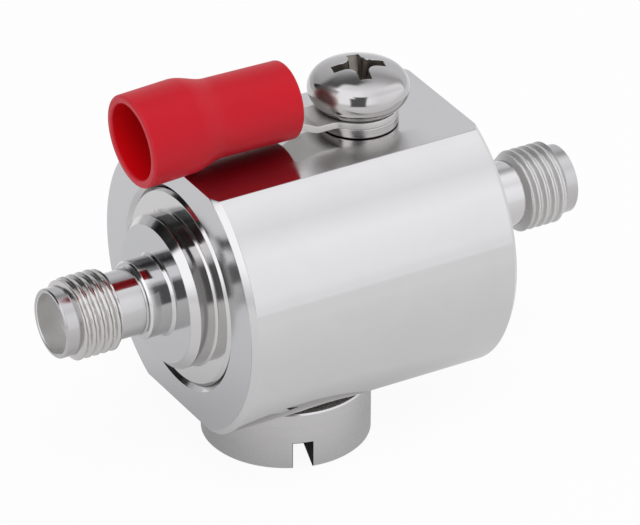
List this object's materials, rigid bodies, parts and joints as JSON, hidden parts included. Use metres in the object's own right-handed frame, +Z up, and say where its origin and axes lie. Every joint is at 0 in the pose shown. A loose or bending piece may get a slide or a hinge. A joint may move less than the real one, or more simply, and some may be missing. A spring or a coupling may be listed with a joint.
{
  "type": "coax lightning arrestor",
  "caption": "Inline coaxial surge arrestor: round bar with flats, threaded sockets at both ends, slotted gas tube cap below and a sleeved earthing lug under a screw on top.",
  "frame": {"origin": "middle of the bounding box in plan, at the base of the lower cap; in X that is the middle of the bar", "axes": "+X along the coaxial line to the connector beside the ground screw, +Z up out of the flat that holds the ground screw, +Y away from the viewer of the picture"},
  "size_m": [0.0446, 0.023, 0.0323],
  "materials": {
    "body_plating": "bright nickel plating on a turned and milled brass bar",
    "connector_plating": "bright nickel plating on turned brass",
    "cap_plating": "satin nickel plating, fine turning marks",
    "screw_plating": "nickel plated steel, slightly tumbled",
    "washer_plating": "plated spring steel",
    "tinned_copper": "tinned copper sheet",
    "gilt_contact": "gold plated copper alloy",
    "dielectric": "white fluoropolymer",
    "tube_ceramic": "white glazed ceramic",
    "electrode": "nickel iron end cap",
    "spring_wire": "plated spring wire",
    "seal_rubber": "black rubber",
    "red_sleeve": "soft red vinyl, satin"
  },
  "bodies": {
    "housing": {"body": "body_plating", "centre_conductor": "gilt_contact", "left_connector_shell": "connector_plating", "right_connector_shell": "connector_plating", "left_dielectric": "dielectric", "right_dielectric": "dielectric", "left_socket_contact": "gilt_contact", "right_socket_contact": "gilt_contact"},
    "tube_and_spring": {"gas_tube_ceramic": "tube_ceramic", "gas_tube_upper_electrode": "electrode", "gas_tube_lower_electrode": "electrode", "contact_spring": "spring_wire", "cap_seal": "seal_rubber"},
    "tube_cap": {"gas_tube_cap": "cap_plating"},
    "washer": {"lock_washer": "washer_plating"},
    "screw": {"ground_screw": "screw_plating"},
    "lug": {"ring_terminal": "tinned_copper", "terminal_sleeve": "red_sleeve"}
  },
  "joints": [
    {"name": "cap_travel", "type": "slide", "parent": "housing", "child": "tube_and_spring", "axis": [0, 0, -1], "range_m": [0, 0.003]},
    {"name": "cap_turn", "type": "hinge", "parent": "tube_and_spring", "child": "tube_cap", "pos_m": [-0.00215, 0, 0.00482], "axis": [0, 0, -1], "range_deg": [0, 1081]},
    {"name": "ground_screw_turn", "type": "hinge", "parent": "housing", "child": "washer", "pos_m": [0.0041, 0, 0.02494], "axis": [0, 0, 1], "range_deg": [0, 2341]},
    {"name": "ground_screw_travel", "type": "slide", "parent": "washer", "child": "screw", "axis": [0, 0, 1], "range_m": [0, 0.00455]},
    {"name": "lug_swivel", "type": "hinge", "parent": "housing", "child": "lug", "pos_m": [0.0041, 0, 0.02575], "axis": [0, 0, 1], "continuous": true}
  ],
  "couplings": [
    {"joint": "cap_turn", "follows": "cap_travel", "rad_per_m": 6283.2},
    {"joint": "ground_screw_turn", "follows": "ground_screw_travel", "rad_per_m": 8976}
  ]
}
